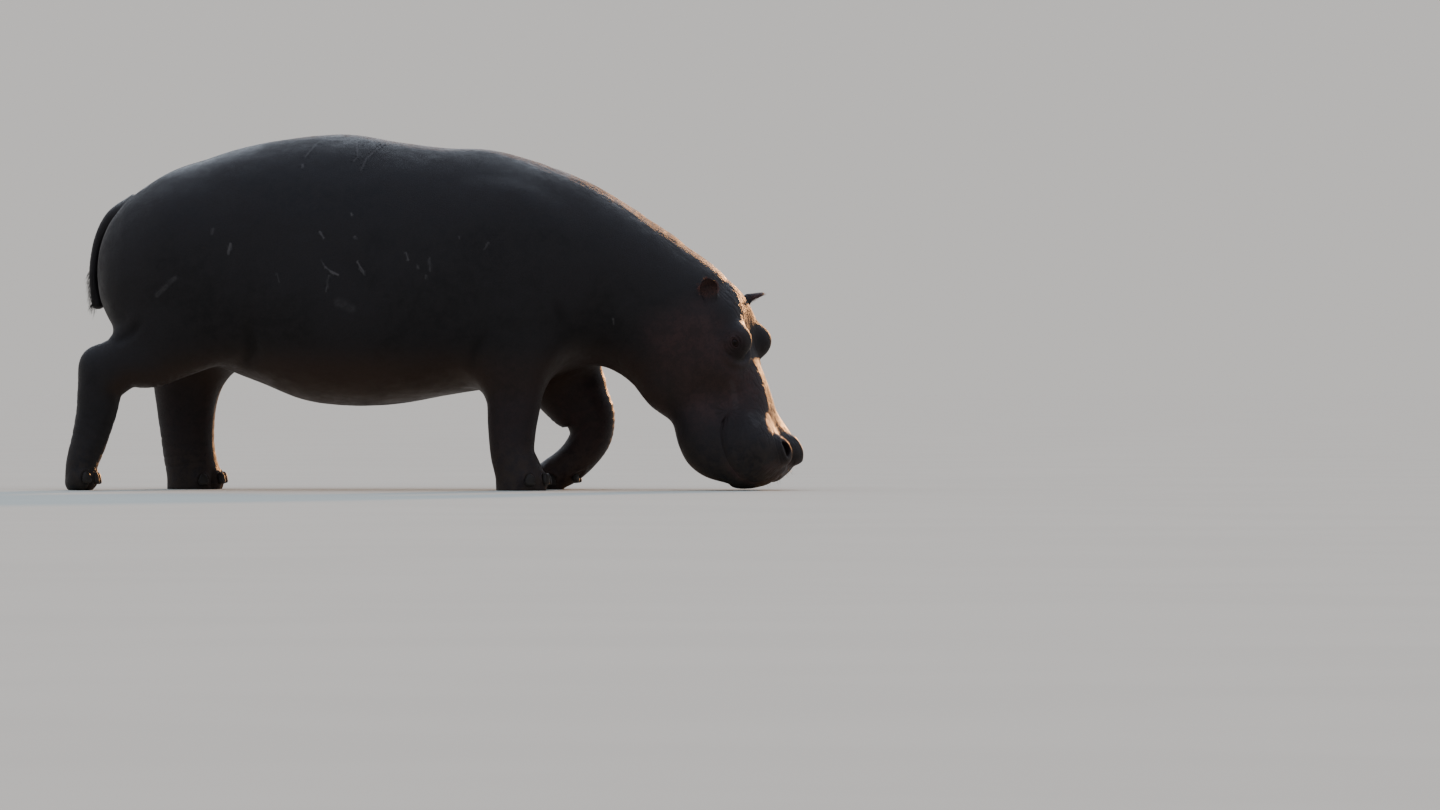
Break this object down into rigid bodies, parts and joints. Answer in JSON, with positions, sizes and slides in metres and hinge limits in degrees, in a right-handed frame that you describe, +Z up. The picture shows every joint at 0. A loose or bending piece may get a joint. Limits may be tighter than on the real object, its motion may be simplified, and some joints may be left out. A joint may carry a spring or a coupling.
{
  "type": "hippopotamus",
  "caption": "Standing hippopotamus in mid-step with its head lowered to the ground, a still life-size animal figure.",
  "frame": {"origin": "middle of the animal's bounding box, on the floor under its soles", "axes": "+X towards the head along the body, +Y to the animal's left, +Z up"},
  "size_m": [3.1112, 1.0673, 1.5091],
  "materials": {
    "hide": "thick bare hide, slate grey-brown, dull with a faint sheen",
    "toenail": "dark horn, worn smooth",
    "eye": "wet dark eyeball"
  },
  "bodies": {
    "root": {"trunk": "hide", "neck": "hide", "head": "hide", "tail": "hide", "ear_left": "hide", "ear_right": "hide", "eye_left": "eye", "eye_right": "eye", "foreleg_left": "hide", "foreleg_right": "hide", "hindleg_left": "hide", "hindleg_right": "hide", "forefoot_left": "hide", "forefoot_right": "hide", "hindfoot_left": "hide", "hindfoot_right": "hide", "toenail_fore_left_1": "toenail", "toenail_fore_left_2": "toenail", "toenail_fore_left_3": "toenail", "toenail_fore_left_4": "toenail", "toenail_fore_right_1": "toenail", "toenail_fore_right_2": "toenail", "toenail_fore_right_3": "toenail", "toenail_fore_right_4": "toenail", "toenail_hind_left_1": "toenail", "toenail_hind_left_2": "toenail", "toenail_hind_left_3": "toenail", "toenail_hind_left_4": "toenail", "toenail_hind_right_1": "toenail", "toenail_hind_right_2": "toenail", "toenail_hind_right_3": "toenail", "toenail_hind_right_4": "toenail"}
  },
  "joints": []
}
